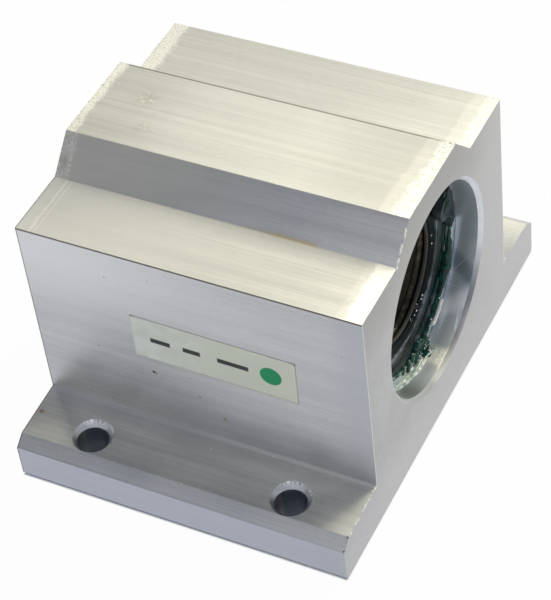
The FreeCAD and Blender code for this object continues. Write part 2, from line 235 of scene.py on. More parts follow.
WALL_SPOTS = (
    ((-7.6, 18.0), 0.24, (0.05, 0.028, 0.02), 0.95), ((-7.2, 17.85), 0.12, (0.10, 0.06, 0.04), 0.9),
    ((-0.6, 15.5), 0.2, (0.26, 0.15, 0.09), 0.6), ((3.0, 12.3), 0.3, (0.36, 0.30, 0.15), 0.7),
    ((-16.2, 20.2), 0.12, (0.12, 0.10, 0.09), 0.7), ((-12.9, 35.0), 0.12, (0.28, 0.26, 0.16), 0.8),
    ((-1.7, 19.0), 0.1, (0.10, 0.09, 0.09), 0.7), ((22.7, 32.6), 0.14, (0.3, 0.3, 0.3), 0.7))
FLANGE_SPOTS = (
    ((-25.3, -28.6), 0.35, (0.42, 0.22, 0.12), 0.7), ((1.4, -26.2), 0.1, (1.0, 1.0, 0.97), 1.0),
    ((10.4, -24.2), 0.1, (1.0, 1.0, 0.95), 1.0), ((0.2, -33.0), 0.16, (0.75, 0.78, 0.55), 0.8),
    ((25.9, -33.1), 0.12, (0.06, 0.055, 0.05), 0.9), ((26.0, -34.7), 0.13, (0.08, 0.07, 0.06), 0.9))
TOP_SPOTS = [(centre, 0.09, (0.30, 0.29, 0.27), 0.6)
             for centre in ((22.2, -1.2), (12.4, 17.0), (-13.6, 20.6), (4.6, -17.6))]


def rubbed_ends(finish, x, y, z, level):
    """How bright the upper faces are worn near their sawn ends, from 0 to 1."""
    ragged = finish.noise(finish.point(x * 0.5, y * 0.5, z), detail=4.0, roughness=0.7)
    speck = finish.noise(finish.point(x * 3.2, y * 3.2, z), detail=4.0, roughness=0.8)
    far, near = y.rise(12.0, 13.0), y.rise(-12.0, -13.0)
    crown = z.rise(44.0, 44.5)
    flare = y.rise(6.0, -6.0) * crown * 0.7
    right = (x + (ragged - 0.5) * 2.2 + flare + near * 0.9).rise(23.6, 24.8)
    right = right * (near * 0.8 + (speck.rise(0.42, 0.54) * 0.75 + 0.1) * (1.0 - near * 0.8))
    hem = (x + (ragged - 0.5) * 1.2 + flare).rise(22.0, 22.6) * speck.rise(0.2, 0.6) * 0.22
    left = (-x + (ragged - 0.5) * 2.6 + far * 0.9).rise(24.2, 25.2) * speck.rise(0.36, 0.52)
    left = left * (0.25 + far * 0.6 + crown * 0.65)
    score = ((x + 24.0 + (ragged - 0.5) * 1.0).size()).rise(0.3, 0.05)
    score = score.largest(((x + 23.2 + (speck - 0.5) * 0.8).size()).rise(0.2, 0.04) * 0.7)
    score = score * near * speck.rise(0.35, 0.5)
    return right.largest(hem).largest(left).largest(score) * level


def extruded_aluminium():
    """Drawn faces: fine lines along the bore's axis, with stains, specks and worn bright ends; painted
    sheen and shade, and painted highlight lines.
    """
    finish = Finish("extruded_aluminium")
    x, y, z = finish.axes()
    lines = finish.noise(finish.point(x * 0.02, y * 6.5, z * 6.5), detail=5.0, roughness=0.8)
    bands = finish.noise(finish.point(x * 0.012, y * 0.6, z * 0.6), detail=3.0)
    grain = finish.noise(finish.point(x * 0.9, y * 11.0, z * 11.0), detail=3.0, roughness=0.75)
    blotch = finish.noise(finish.point(x * 0.12, y * 0.2, z * 0.2), detail=3.0)
    facing = steepness(finish)
    level = facing.rise(0.9, 0.99) * z.rise(30.0, 32.0)
    upright = facing.size().rise(0.3, 0.1)
    streaks = ((lines - 0.5) * 1.3 + (bands - 0.5) * 0.7) * (1.0 - upright * 0.4)
    tone = streaks + (grain - 0.5) * 0.6 + (blotch - 0.5) * 0.35 + 0.5
    metal = finish.mix(ALUMINIUM_DULL, ALUMINIUM, tone.rise(0.1, 0.9))

    # Painted sheen: the near shoulder, the middle of the crown and the upper left of the upright faces
    # made paler where light falls.
    middle = x.rise(-24.0, -6.0) * x.rise(24.0, 6.0) * z.rise(44.0, 44.6) * 0.3
    paler = level * (y.rise(-11.0, -13.0) * x.rise(22.0, -26.0) * 0.75 + middle)
    paler = paler + upright * z.rise(20.0, 37.0) * x.rise(24.0, -24.0) * 0.8
    metal = finish.mix(metal, (0.80, 0.80, 0.785), paler.largest(0.0))
    # Painted shade: the crown darker towards both ends, the far shoulder a little darker.
    darker = z.rise(44.0, 44.6) * (x.rise(6.0, 22.0) * 0.45).largest(x.rise(-10.0, -20.0) * 0.2)
    metal = finish.mix(metal, (0.46, 0.46, 0.45), darker.largest(y.rise(12.0, 13.0) * level * 0.15))
    # Painted shade: the faces low on the flange cooler and darker, and the upright faces darker near
    # the right end.
    metal = finish.mix(metal, (0.48, 0.505, 0.57), z.rise(6.2, 5.6) * 0.6)
    metal = finish.mix(metal, (0.50, 0.51, 0.53), upright * x.rise(19.0, 25.0) * 0.7)

    # Painted shade: dark lines under the wall's top edge and behind the crown, where the faces turn
    # away.
    under_rim_shade = z.rise(39.58, 39.70) * facing.rise(0.9, 0.6) * y.size().rise(23.3, 23.4)
    behind_crown_shade = y.rise(7.55, 7.7) * z.rise(44.35, 44.5)
    metal = finish.mix(metal, (0.17, 0.155, 0.14), under_rim_shade.largest(behind_crown_shade * 0.75))

    lit_end = 22.3 + (y + 33.0) * 0.42
    flange_top = facing.rise(0.96, 0.99) * z.rise(9.0, 8.5) * y.rise(-23.3, -23.8)
    shade = (lit_end - x).rise(-0.9, 1.1) * x.rise(-22.0, 12.0)
    shaded = finish.mix((0.33, 0.34, 0.36), (0.52, 0.535, 0.56), tone.rise(0.15, 0.85))
    metal = finish.mix(metal, shaded, flange_top * shade * 0.72)
    # Painted highlight: a bright line on the flange top along the foot of each wall.
    root = (y.size() - WALL_MM).rise(0.95, 0.45) * z.rise(8.6, 8.1) * facing.rise(0.6, 0.8)
    metal = finish.mix(metal, (0.80, 0.81, 0.82), root * 0.5)

    specks = finish.noise(finish.point(x * 1.1, y * 1.1, z * 1.1), detail=1.0)
    metal = finish.mix(metal, (0.25, 0.24, 0.22), specks.rise(0.80, 0.83) * upright * 0.6)
    on_wall = y.rise(-23.0, -23.6) * upright
    metal = spotted(finish, metal, x, z, on_wall, WALL_SPOTS)
    on_flange = z.rise(9.0, 8.5) * y.rise(-23.0, -23.7)
    metal = spotted(finish, metal, x, y, on_flange, FLANGE_SPOTS)
    on_top = z.rise(38.0, 39.0)
    yellow = stroke(x, y, (1.0, -12.55), (14.5, -12.62), 0.34) * (bands.rise(0.2, 0.7) * 0.5 + 0.3)
    metal = finish.mix(metal, (0.62, 0.50, 0.20), yellow * on_top * x.rise(2.0, 10.0))
    metal = finish.mix(metal, (0.78, 0.66, 0.30), spot(x, y, (25.2, 13.3), 0.7, 0.5) * on_top * 0.55)
    crumb = finish.noise(finish.point(x * 1.5, y * 1.5, z), detail=4.0, roughness=0.75)
    smudge = spot(x, y, (-18.6, 2.0), 1.4, 1.3).largest(spot(x, y, (-16.2, -4.0), 1.1, 1.0) * 0.8)
    metal = finish.mix(metal, (0.40, 0.41, 0.33), smudge * crumb.rise(0.4, 0.62) * on_top * 0.55)
    metal = finish.mix(metal, (0.92, 0.92, 0.86), smudge * crumb.rise(0.42, 0.34) * on_top * 0.8)
    metal = spotted(finish, metal, x, y, on_top, TOP_SPOTS)
    # Colour turns dark along the left end.
    left_end_line = x.rise(-25.93, -26.03)
    metal = finish.mix(metal, (0.22, 0.21, 0.18), left_end_line * 0.8)

    on_flank = facing.rise(0.5, 0.65) * facing.rise(0.9, 0.8) * z.rise(38.0, 39.0)
    glint = finish.noise(finish.point(x * 2.6, y * 2.6, z * 2.6), detail=3.0, roughness=0.8)
    flank_end = (-x + (glint - 0.5) * 3.0).rise(24.0, 24.8) * on_flank
    metal = finish.mix(metal, (1.0, 1.0, 1.0), flank_end * glint.rise(0.5, 0.56))
    chip = spot(x, z, (-25.2, 41.7), 0.55, 0.4) * on_flank
    metal = finish.mix(metal, (0.20, 0.17, 0.07), chip * 0.75)
    warm_flank = on_flank * x.rise(12.0, -10.0)
    metal = finish.mix(metal, (0.66, 0.64, 0.565), warm_flank * 0.7)

    wear_and_sheen = rubbed_ends(finish, x, y, z, level)
    colour = finish.mix(metal, ALUMINIUM_BRIGHT, wear_and_sheen)
    return finish.done(
        Base_Color=colour, Metallic=1.0, Roughness=0.47 + (blotch - 0.5) * 0.12,
        Normal=finish.bump(lines + grain * 0.5 + glint * flank_end * 12.0, 0.25, 0.02 * MM))


def milled_aluminium():
    """Sawn and sanded end faces: matt, with faint short scratches; painted shade towards the top,
    painted light on the far side and bottom.
    """
    finish = Finish("milled_aluminium")
    x, y, z = finish.axes()
    slant = finish.point(x, y * 3.4 + z * 1.2, z * 0.5 - y * 0.2)
    sanding = finish.noise(slant, detail=5.0, roughness=0.8)
    cloud = finish.noise(finish.point(x * 0.2, y * 0.14, z * 0.14), detail=3.0)
    grit = finish.noise(finish.point(x, y * 4.0, z * 4.0), detail=3.0, roughness=0.8)
    tone = (sanding - 0.5) * 1.1 + (cloud - 0.5) * 0.9 + (grit - 0.5) * 0.8 + 0.5
    colour = finish.mix((0.50, 0.495, 0.475), (0.60, 0.595, 0.57), tone.rise(0.15, 0.85))
    # Painted shade: darker towards the top.
    colour = finish.mix(colour, (0.455, 0.445, 0.415), z.rise(28.0, 42.0) * 0.75)
    lit = (y.rise(8.0, 24.0) * 0.8).largest(z.rise(12.0, 4.0) * 0.6)
    colour = finish.mix(colour, (0.62, 0.612, 0.60), lit)
    # A brighter line along the end's edges with the walls: worn metal with a painted highlight.
    worn = ((y.size() - WALL_MM).size() + (sanding - 0.5) * 0.3).rise(0.26, 0.1) * z.rise(7.0, 8.0)
    colour = finish.mix(colour, (0.86, 0.86, 0.84), worn * 0.7)
    return finish.done(
        Base_Color=colour, Metallic=1.0, Roughness=0.5 + (cloud - 0.5) * 0.1,
        Normal=finish.bump(sanding + grit * 0.5, 0.35, 0.02 * MM))


SEAT_SCRATCHES = (
    ((22.3, -10.1), (25.1, -6.3), 0.05, 0.8), ((22.1, -11.9), (24.0, -12.0), 0.07, 1.0),
    ((22.7, -10.0), (24.1, -10.3), 0.05, 0.6), ((24.7, -14.4), (25.3, -18.3), 0.11, 1.0),
    ((23.0, -17.5), (24.1, -16.9), 0.05, 0.6))


def bored_seat():
    """The bore where the bushing sits: fine turned rings, a rough pale patch and scratches, with
    painted shade and a painted glare.
    """
    finish = Finish("bored_seat")
    x, y, z = finish.axes()
    arc = turn_about_shaft(y, z) * (SEAT_RADIUS / MM)
    rings = finish.noise(finish.point(x * 9.0, y * 0.04, z * 0.04), detail=4.0, roughness=0.75)
    cloud = finish.noise(finish.point(x * 0.4, y * 0.2, z * 0.2), detail=2.0)
    tone = (rings - 0.5) * 0.8 + (cloud - 0.5) * 0.5 + 0.5
    colour = finish.mix((0.54, 0.60, 0.645), (0.70, 0.755, 0.80), tone.rise(0.15, 0.85))
    # Painted shade: the far, upper part of the bore darker and bluer.
    colour = finish.mix(colour, (0.56, 0.62, 0.67), arc.rise(-10.0, -6.5) * arc.rise(48.0, 24.0) * 0.7)
    shadow = (arc + 8.6 + (x - 23.4) * 0.7).size().rise(2.4, 0.6)
    colour = finish.mix(colour, (0.29, 0.35, 0.41), shadow * 0.85)
    # Painted shade on the lower front part of the bore.
    colour = finish.mix(colour, (0.20, 0.225, 0.222), arc.rise(-26.5, -33.8) * arc.rise(-49.0, -37.0))
    glare = (arc + 15.0 - (x - 23.0) * 0.8).size().rise(2.8, 0.4) * x.rise(21.6, 22.2)
    glare = glare * rings.rise(0.1, 0.5)
    colour = finish.mix(colour, (0.98, 0.99, 1.0), glare * 0.9)
    torn = finish.noise(finish.point(x * 5.0, y * 1.5, z * 1.5), detail=4.0, roughness=0.8)
    front = x.rise(22.4, 23.4)
    rough = (arc + 23.2).size().rise(2.3, 0.8) * front * torn.rise(0.3, 0.6)
    colour = finish.mix(colour, (0.97, 0.96, 0.86), rough * 0.85)
    marks = reduce(Value.largest, [stroke(x, arc, start, end, width) * share
                                   for start, end, width, share in SEAT_SCRATCHES])
    lip = x.rise(25.15, 25.4) * (arc + 23.4).size().rise(2.9, 1.6)
    colour = finish.mix(colour, (1.0, 0.97, 0.86), lip)
    colour = finish.mix(colour, (0.98, 0.99, 1.0), marks)
    return finish.done(
        Base_Color=colour, Metallic=0.55, Roughness=0.32 + rough * 0.15 + glare * 0.2,
        Normal=finish.bump(rings + rough * torn * 4.0, 0.25, 0.02 * MM))


# Painted light and shade on the chamfer: from and to an angle round the mouth in degrees, and the tone
# there.
CHAMFER_LIGHT_AND_SHADE = (
    (-8.0, -44.0, (0.23, 0.25, 0.27)), (-47.0, -60.0, (0.46, 0.455, 0.47)),
    (-66.0, -88.0, (0.74, 0.73, 0.67)), (-93.0, -105.0, (0.43, 0.44, 0.42)),
    (-125.0, -170.0, (0.75, 0.76, 0.77)))


def mouth_chamfer():
    """The bright turned chamfer round the bore's mouth, with painted bands of light and shade."""
    finish = Finish("mouth_chamfer")
    x, y, z = finish.axes()
    wander = finish.noise(finish.point(x, y * 0.5, z * 0.5), detail=3.0)
    turn = turn_about_shaft(y, z) * math.degrees(1.0)
    colour = finish.mix((0.70, 0.71, 0.72), (0.80, 0.81, 0.82), wander.rise(0.3, 0.7))
    for start, end, tone in CHAMFER_LIGHT_AND_SHADE:
        colour = finish.mix(colour, tone, turn.rise(start, end))
    return finish.done(
        Base_Color=colour, Metallic=0.85, Roughness=0.34 + wander * 0.1,
        Normal=finish.bump(wander, 0.2, 0.02 * MM))


def drilled_hole():
    """Drilled walls and countersinks, slightly blue, with the drill's rings: painted shade on the
    walls, a bright painted highlight on each countersink's far left side.
    """
    finish = Finish("drilled_hole")
    x, y, z = finish.axes()
    rings = finish.noise(finish.point(x * 0.05, y * 0.05, z * 7.0), detail=3.0, roughness=0.7)
    slope = steepness(finish).rise(0.3, 0.6)
    # Painted bluish shade on the hole's wall, over the drill's rings.
    wall = finish.mix((0.24, 0.28, 0.36), (0.38, 0.43, 0.52), rings.rise(0.3, 0.7))
    aside = x - (x.rise(-0.1, 0.1) * 2.0 - 1.0) * (BOLTS["spacing_x_mm"] / 2)
    inward = y - (y.rise(-0.1, 0.1) * 2.0 - 1.0) * (BOLTS["spacing_y_mm"] / 2)
    # Painted highlight on each countersink's far left side, painted shade round the rest.
    rim = finish.mix((0.32, 0.33, 0.34), (1.0, 1.0, 1.0), (inward * 0.75 - aside * 0.65).rise(0.5, 2.2))
    colour = finish.mix(wall, rim, slope)
    return finish.done(
        Base_Color=colour, Metallic=0.85, Roughness=0.42,
        Normal=finish.bump(rings * (1.0 - slope), 0.25, 0.02 * MM))


# ---------------------------------------------------------------------------
# Mesh helpers
# ---------------------------------------------------------------------------
def link_piece(name, mesh, materials, slot, *stands_for):
    """Put a finished mesh in the scene as a piece of the object."""
    piece = bpy.data.objects.new(name, mesh)
    bpy.context.scene.collection.objects.link(piece)
    for material in materials:
        mesh.materials.append(material)
    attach(piece, ROOT)
    if stands_for:
        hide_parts(*stands_for)
    return piece


def join_layers(work, top, bottom, columns, rows):
    """Close a sheet made of two grids of points, one over the other."""
    width = columns + 1
    for row in range(rows):
        for column in range(columns):
            a = row * width + column
            corners = (a, a + 1, a + 1 + width, a + width)
            work.faces.new([top[index] for index in corners])
            work.faces.new([bottom[index] for index in reversed(corners)])
    rim = list(range(columns))
    rim += [columns + row * width for row in range(rows)]
    rim += [rows * width + column for column in range(columns, 0, -1)]
    rim += [row * width for row in range(rows, 0, -1)]
    for index, here in enumerate(rim):
        beyond = rim[(index + 1) % len(rim)]
        work.faces.new((top[beyond], top[here], bottom[here], bottom[beyond]))


def finished_mesh(work, name):
    """Turn worked points and faces into a smooth mesh whose faces point outwards."""
    bmesh.ops.recalc_face_normals(work, faces=work.faces)
    mesh = bpy.data.meshes.new(name)
    work.to_mesh(mesh)
    work.free()
    for polygon in mesh.polygons:
        polygon.use_smooth = True
    return mesh


def welded_copy(node):
    """A node's shape as a welded mesh of whole faces, ready for its edges to be worked."""
    work = bmesh.new()
    work.from_mesh(frame["nodes"][node].data)
    bmesh.ops.remove_doubles(work, verts=work.verts, dist=0.001 * MM)
    bmesh.ops.dissolve_limit(
        work, angle_limit=math.radians(0.4), verts=work.verts, edges=work.edges,
        use_dissolve_boundaries=False)
    work.normal_update()
    return work


def bevel_edges(work, name, pick_width, segments=2):
    """Round the picked edges, each by its own width, and return the finished mesh."""
    weight = work.edges.layers.float.new("bevel_weight_edge")
    widths = {edge: pick_width(edge) for edge in work.edges if len(edge.link_faces) == 2}
    widest = max(widths.values())
    for edge, width in widths.items():
        edge[weight] = width / widest
    raw = bpy.data.meshes.new(name + "_raw")
    work.to_mesh(raw)
    work.free()
    holder = bpy.data.objects.new(name + "_raw", raw)
    bpy.context.scene.collection.objects.link(holder)
    for polygon in raw.polygons:
        polygon.use_smooth = True
    bevel = holder.modifiers.new("edges", "BEVEL")
    bevel.limit_method = "WEIGHT"
    bevel.width = widest
    bevel.segments = segments
    bevel.harden_normals = True
    bevel.use_clamp_overlap = True
    seen = holder.evaluated_get(bpy.context.evaluated_depsgraph_get())
    mesh = bpy.data.meshes.new_from_object(seen)
    mesh.name = name
    bpy.data.objects.remove(holder)
    bpy.data.meshes.remove(raw)
    return mesh


# ---------------------------------------------------------------------------
# Housing
# ---------------------------------------------------------------------------
CORNER_ROUNDING = 0.28 * MM
SAWN_EDGE = 0.09 * MM
BORED_EDGE = 0.05 * MM
SOFT_TURN = math.radians(20)
END_ZONE = 1.0 * MM  # a sawn edge lies farther than this outside the seat
MOUTH_ZONE = 1.5 * MM  # a bored edge lies nearer than this
SEAT_ZONE = 1.3 * MM  # so do the faces of the seat, its grooves and chamfers
CHAMFER_START = 25.3 * MM
COUNTERSINK = 0.66  # how far it reaches past the hole's wall, in millimetres
DRAWN, SAWN, BORED, CHAMFERED, DRILLED = range(5)


def housing_edge_width(edge):
    """How far each kind of edge of the housing is rounded."""
    turn = edge.calc_face_angle(0.0)
    if turn < SOFT_TURN:
        return 0.0
    a, b = (vert.co for vert in edge.verts)
    along = abs((b - a).normalized().x)
    at_end = min(abs(a.x), abs(b.x)) > HALF_LENGTH - 0.01 * MM
    from_axis = [math.hypot(p.y, p.z - SHAFT_HEIGHT) for p in (a, b)]
    if along > 0.99:
        return CORNER_ROUNDING
    if at_end and min(from_axis) > SEAT_RADIUS + END_ZONE:
        return SAWN_EDGE
    if max(from_axis) < SEAT_RADIUS + MOUTH_ZONE or abs(a.y) > WALL_Y:
        return BORED_EDGE
    return 0.0


def make_housing():
    """The housing with rounded edges and a finish for each kind of cut."""
    work = welded_copy("housing")
    mesh = bevel_edges(work, "housing_body", housing_edge_width, segments=3)
    finishes = [extruded_aluminium(), milled_aluminium(), bored_seat(), mouth_chamfer(),
                drilled_hole()]
    piece = link_piece("housing_body", mesh, finishes, "housing", "housing")
    for polygon in mesh.polygons:
        centre, normal = polygon.center, polygon.normal
        from_axis = math.hypot(centre.y, centre.z - SHAFT_HEIGHT)
        if from_axis < SEAT_RADIUS + SEAT_ZONE and abs(normal.x) < 0.999:
            sloping = abs(normal.x) > 0.2 and abs(centre.x) > CHAMFER_START
            polygon.material_index = CHAMFERED if sloping else BORED
        elif abs(normal.x) > 0.9:
            polygon.material_index = SAWN
        elif normal.z < 0.9 and inside_bolt_hole(centre):
            polygon.material_index = DRILLED
        else:
            polygon.material_index = DRAWN
    return piece


def inside_bolt_hole(place):
    """Whether a place on the housing's surface is on a bolt hole's wall or countersink."""
    across = abs(abs(place.x) - BOLTS["spacing_x_mm"] / 2 * MM)
    along = abs(abs(place.y) - BOLTS["spacing_y_mm"] / 2 * MM)
    return math.hypot(across, along) < (BOLTS["hole_r_mm"] + COUNTERSINK) * MM


def make_burrs():
    """Small bright chips that the saw left along three edges of the visible end."""
    rng = random.Random(31)
    edges = (
        ((-12.65, 39.95), (-8.3, 44.3), (0.02, 0.12, 0.42, 0.5, 0.78), 0.2),
        ((-23.9, 7.9), (-33.0, 7.3), (0.08, 0.3, 0.38, 0.45, 0.66, 0.75, 0.93), 0.13),
        ((-33.1, 7.2), (-34.85, 5.9), (0.2, 0.8), 0.06))
    work = bmesh.new()
    for (y0, z0), (y1, z1), clusters, width in edges:
        for number in range(6 * len(clusters)):
            share = min(1.0, max(0.0, rng.gauss(clusters[number % len(clusters)], 0.03)))
            size = rng.uniform(0.35, 1.0) * width * MM
            centre = Vector((HALF_LENGTH - rng.uniform(0.0, 0.12) * MM, (y0 + (y1 - y0) * share) * MM,
                             (z0 + (z1 - z0) * share) * MM))
            add_chip(work, centre, size, Vector((0, y1 - y0, z1 - z0)).normalized(), rng)
    finish = Finish("burr_aluminium")
    x, y, z = finish.axes()
    crumb = finish.noise(finish.point(x, y, z), scale=8.0, detail=2.0)
    finish.done(
        Base_Color=finish.mix((0.80, 0.79, 0.72), (1.0, 1.0, 0.97), crumb.rise(0.35, 0.6)),
        Metallic=0.4, Roughness=0.3, Normal=finish.bump(crumb, 0.5, 0.05 * MM))
    link_piece("saw_burrs", finished_mesh(work, "saw_burrs"), [finish.made], "housing")


def add_chip(work, centre, size, along, rng):
    """A rough little lump, longer along its edge."""
    made = bmesh.ops.create_icosphere(work, subdivisions=1, radius=size)
    stretch = rng.uniform(0.8, 2.2)
    for vert in made["verts"]:
        point = vert.co * rng.uniform(0.7, 1.25)
        point += along * point.dot(along) * stretch
        vert.co = centre + point


make_housing()
make_burrs()


# ---------------------------------------------------------------------------
# Sticker
# ---------------------------------------------------------------------------
STICKER_LENGTH, STICKER_HEIGHT, STICKER_TILT = 25.4 * MM, 8.0 * MM, math.radians(0.7)
STICKER_DEPTH = 0.09 * MM


def sticker_paper():
    """Coated paper, printed with a plain green spot and three dark dashes."""
    finish = Finish("sticker_paper")
    along, up = sticker_axes(finish)
    fibre = finish.noise(finish.point(along, up, 0.0), scale=6.0, detail=4.0, roughness=0.7)
    stain = finish.noise(finish.point(along, up, 3.0), scale=0.35, detail=2.0)
    greener = finish.mix((0.86, 0.90, 0.85), (0.79, 0.83, 0.70), along.rise(-13.0, 4.0))
    aged = finish.mix(greener, (0.76, 0.80, 0.71), stain.rise(0.35, 0.7))
    paper = finish.mix(aged, (0.60, 0.63, 0.55), fibre.rise(0.55, 0.95) * 0.35)
    # A paler band just inside the edge, and a painted shadow along the very edge.
    edge = (along.size() - 12.45).largest(up.size() - 3.75)
    paper = finish.mix(paper, (0.90, 0.92, 0.80), edge.rise(-0.1, 0.1) * 0.35)
    paper = finish.mix(paper, (0.36, 0.37, 0.31), edge.rise(0.15, 0.3) * 0.5)
    wobble = (fibre - 0.5) * 0.12
    dashes = [
        ((along - centre).size() - half + wobble).largest((up - 0.1).size() - 0.42 + wobble)
        for centre, half in ((-8.3, 1.55), (-3.4, 1.35), (3.0, 2.4))]
    ink = reduce(Value.largest, [dash.rise(0.06, -0.06) for dash in dashes])
    printed = finish.mix(paper, (0.012, 0.013, 0.016), ink * 0.95)
    dot = (((along - 8.8) ** 2.0 + (up - 0.1) ** 2.0).root() - 1.65 + wobble).rise(0.07, -0.07)
    printed = finish.mix(printed, (0.0, 0.33, 0.13), dot * 0.97)
    return finish.done(
        Base_Color=printed, Roughness=0.5 + (fibre - 0.5) * 0.1, Specular_IOR_Level=0.25,
        Normal=finish.bump(fibre, 0.15, 0.01 * MM))


def sticker_axes(finish):
    """Distances along and up the sticker from its middle, in millimetres."""
    x, _, z = finish.axes()
    middle = (LABEL_LOW + LABEL_HIGH) / 2 / MM
    x, z = x - middle.x, z - middle.z
    cosine, sine = math.cos(STICKER_TILT), math.sin(STICKER_TILT)
    return x * cosine - z * sine, z * cosine + x * sine


def make_sticker():
    """A thin sheet laid on the wall, its corners lifting a little."""
    columns, rows = 64, 20
    middle = (LABEL_LOW + LABEL_HIGH) / 2
    turn = Matrix.Rotation(STICKER_TILT, 3, "Y")
    work = bmesh.new()
    layers = []
    for depth in (STICKER_DEPTH, 0.0):
        grid = []
        for row in range(rows + 1):
            for column in range(columns + 1):
                along, up = 2 * column / columns - 1, 2 * row / rows - 1
                lift = max(0.0, abs(along) - 0.9) * max(0.0, abs(up) - 0.6) * 25
                ripple = math.sin(along * 9 + up * 2) * math.sin(up * 5 - along * 3)
                out = depth + (0.05 * lift + 0.006 * (1 + ripple) * (1 - up * up)) * MM
                flat = Vector((along * STICKER_LENGTH / 2, 0, up * STICKER_HEIGHT / 2))
                place = turn @ flat
                grid.append(work.verts.new((middle.x + place.x, -WALL_Y - out, middle.z + place.z)))
        layers.append(grid)
    join_layers(work, layers[0], layers[1], columns, rows)
    mesh = finished_mesh(work, "sticker")
    return link_piece("sticker", mesh, [sticker_paper()], "label", "label")


# ---------------------------------------------------------------------------
# Ball bushing and circlips
# ---------------------------------------------------------------------------
def round_shaft(finish):
    """Distance from the shaft's line, then the place as three numbers, in millimetres."""
    x, y, z = finish.axes()
    return ((y ** 2.0) + (z - SHAFT_HEIGHT / MM) ** 2.0).root(), x, y, z


def oiled_steel(name, clean, oily, gloss, reach):
    """Turned or stamped steel under an uneven film of dark grease, thickest near the bore."""
    finish = Finish(name)
    radius, x, y, z = round_shaft(finish)
    place = finish.point(x, y, z)
    rings = finish.noise(finish.point(radius * 7.0, x * 7.0, y * 0.1), detail=3.0)
    film = finish.noise(place, scale=0.32, detail=3.0, roughness=0.55)
    lumps = finish.noise(place, scale=1.2, detail=2.0, roughness=0.5)
    wet = ((film - 0.5) * 4.0 + (reach - radius) * 0.8).rise(-0.3, 0.5)
    metal = finish.mix(tuple(part * 0.8 for part in clean), clean, rings.rise(0.3, 0.7))
    return finish.done(
        Base_Color=finish.mix(metal, oily, wet * 0.85), Metallic=0.7 - wet * 0.5,
        Roughness=gloss + lumps * 0.12 - wet * 0.1, Coat_Weight=wet * 0.35, Coat_Roughness=0.15,
        Normal=finish.bump(rings * 0.3 + lumps * wet, 0.2, 0.04 * MM))


def circlip_steel():
    """Stamped spring steel: its ears and inner edge lie in dark grease, its outer face is clean."""
    finish = Finish("circlip_steel")
    radius, x, y, z = round_shaft(finish)
    place = finish.point(x, y, z)
    turn = turn_about_shaft(y, z) * math.degrees(1.0)
    brushed = finish.noise(finish.point(x, y * 3.0, z * 3.0), detail=3.0, roughness=0.7)
    film = finish.noise(place, scale=0.5, detail=3.0, roughness=0.55)
    ear = turn.rise(-9.0, -3.0) * turn.rise(85.0, 60.0)
    wet = ((film - 0.5) * 1.6 + (14.45 + ear * 1.5 - radius) * 1.4).rise(-0.3, 0.5)
    metal = finish.mix((0.60, 0.66, 0.70), (0.82, 0.87, 0.92), brushed.rise(0.3, 0.7))
    oily = finish.mix((0.012, 0.022, 0.024), (0.040, 0.058, 0.060), film.rise(0.35, 0.7))
    return finish.done(
        Base_Color=finish.mix(metal, oily, wet * 0.93), Metallic=0.7 - wet * 0.6,
        Roughness=0.38 + wet * 0.08, Specular_IOR_Level=0.12,
        Normal=finish.bump(brushed * 0.3 + film * wet, 0.2, 0.04 * MM))


def seal_rubber():
    """Black moulded rubber, wet with grease, with a painted grey sheen on its lip."""
    finish = Finish("seal_rubber")
    radius, x, y, z = round_shaft(finish)
    place = finish.point(x, y, z)
    beads = finish.noise(place, scale=1.6, detail=3.0, roughness=0.6)
    # Painted sheen: the lip grey.
    wear_and_sheen = radius.rise(9.85, 9.6) * 0.7
    colour = finish.mix((0.004, 0.009, 0.009), (0.16, 0.15, 0.125), wear_and_sheen)
    return finish.done(
        Base_Color=colour, Roughness=0.3 + wear_and_sheen * 0.2, Specular_IOR_Level=0.08,
        Normal=finish.bump(beads, 0.3, 0.1 * MM))


def cage_polymer():
    """Dark brown moulded polymer inside the bushing, smeared with old grease."""
    finish = Finish("cage_polymer")
    x, y, z = finish.axes()
    smears = finish.noise(finish.point(x * 0.5, y, z), scale=0.5, detail=4.0, roughness=0.6)
    colour = finish.mix((0.055, 0.052, 0.036), (0.12, 0.108, 0.075), smears.rise(0.3, 0.75))
    return finish.done(
        Base_Color=colour, Roughness=0.5, Specular_IOR_Level=0.25,
        Normal=finish.bump(smears, 0.3, 0.15 * MM))


def polished_steel(name, colour, roughness):
    """Hardened steel with a slight haze."""
    finish = Finish(name)
    x, y, z = finish.axes()
    haze = finish.noise(finish.point(x, y, z), scale=1.2, detail=3.0)
    return finish.done(
        Base_Color=finish.mix(tuple(part * 0.7 for part in colour), colour, haze.rise(0.3, 0.7)),
        Metallic=1.0, Roughness=roughness + haze * 0.1)


def crisp_width(width):
    """A chooser that rounds every true corner of a turned or stamped piece by one width."""
    def pick(edge):
        return width if edge.calc_face_angle(0.0) > math.radians(30) else 0.0
    return pick


def dress_steel(name, node, material, slot, width):
    """Replace a steel ring by a copy with its corners broken."""
    mesh = bevel_edges(welded_copy(node), name, crisp_width(width))
    return link_piece(name, mesh, [material], slot, node)


SEAL_PROFILE = (
    (18.31, 10.76), (18.31, 13.08), (19.58, 13.08), (19.58, 12.06), (20.30, 12.06), (20.33, 11.95),
    (20.32, 11.70), (20.18, 11.58), (20.10, 11.40), (20.14, 11.20), (20.28, 11.08), (20.31, 10.92),
    (20.22, 10.76), (19.86, 10.62), (19.70, 10.42), (19.74, 10.22), (20.00, 10.06), (20.24, 9.92),
    (20.31, 9.76), (20.27, 9.60), (20.12, 9.54), (19.84, 9.54), (19.14, 10.76),
)


def make_seal(name, node, material, end):
    """A moulded wiper seal: two beads, a gutter and the lip that meets the shaft."""
    work = bmesh.new()
    lathe(work, [(end * x * MM, r * MM) for x, r in SEAL_PROFILE], 128)
    mesh = finished_mesh(work, name)
    return link_piece(name, mesh, [material], "seal", node)


